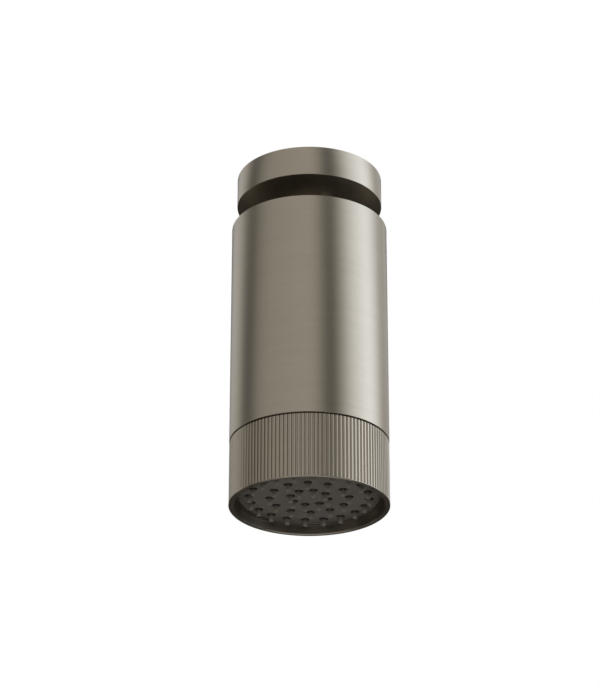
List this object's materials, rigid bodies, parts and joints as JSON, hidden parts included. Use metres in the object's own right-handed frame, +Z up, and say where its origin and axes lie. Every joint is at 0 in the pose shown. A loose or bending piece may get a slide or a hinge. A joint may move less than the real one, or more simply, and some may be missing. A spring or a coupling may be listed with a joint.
{
  "type": "rain shower head",
  "caption": "Ceiling-mounted cylindrical rain shower head with a round rose, a ball joint that swivels and tilts, a fluted screw-off ring and a silicone spray face.",
  "frame": {"origin": "centre of the ceiling plane, on the axis of the inlet thread; the rose's upper rim lies in this plane", "axes": "+Z up, along the inlet thread towards the ceiling; the head tilts about X, which is level"},
  "size_m": [0.08, 0.08, 0.195],
  "materials": {
    "brushed_nickel": "brass with fine circumferential brushing under a warm nickel plate",
    "raw_brass": "turned brass, unplated",
    "screw_steel": "plain stainless steel",
    "seal_rubber": "smooth EPDM rubber",
    "nozzle_silicone": "matt dark grey silicone",
    "white_acetal": "natural acetal",
    "ptfe": "waxy PTFE",
    "black_moulding": "moulded glass-filled plastic"
  },
  "bodies": {
    "ceiling_side": {"ball_stem": "brushed_nickel", "ceiling_rose": "brushed_nickel", "rose_o_ring": "seal_rubber", "inlet_strainer": "white_acetal"},
    "swivel": {"ball_liner": "ptfe"},
    "head": {"body_shell": "brushed_nickel", "upper_seat": "white_acetal", "ball_seal": "seal_rubber", "ball_socket": "raw_brass", "flow_regulator": "white_acetal", "regulator_o_ring": "seal_rubber", "down_tube": "raw_brass", "tube_upper_o_ring": "seal_rubber", "tube_lower_o_ring": "seal_rubber", "thread_ring": "raw_brass"},
    "cartridge": {"chamber_cover": "black_moulding", "diffuser_plate": "black_moulding", "cover_screws": "screw_steel", "nozzle_mat": "nozzle_silicone", "spray_plate": "brushed_nickel", "slip_washer": "white_acetal"},
    "collar": {"fluted_ring": "brushed_nickel"}
  },
  "joints": [
    {"name": "head_swivel", "type": "hinge", "parent": "ceiling_side", "child": "swivel", "pos_m": [0, 0, -0.0435], "axis": [0, 0, 1], "continuous": true},
    {"name": "head_tilt", "type": "hinge", "parent": "swivel", "child": "head", "pos_m": [0, 0, -0.0435], "axis": [1, 0, 0], "range_deg": [-15, 15]},
    {"name": "spray_drop", "type": "slide", "parent": "head", "child": "cartridge", "axis": [0, 0, -1], "range_m": [0, 0.006]},
    {"name": "ring_unscrew", "type": "hinge", "parent": "cartridge", "child": "collar", "pos_m": [0, 0, -0.166], "axis": [0, 0, -1], "range_deg": [0, 1080]}
  ],
  "couplings": [
    {"joint": "spray_drop", "follows": "ring_unscrew", "m_per_rad": 0.00031831}
  ]
}
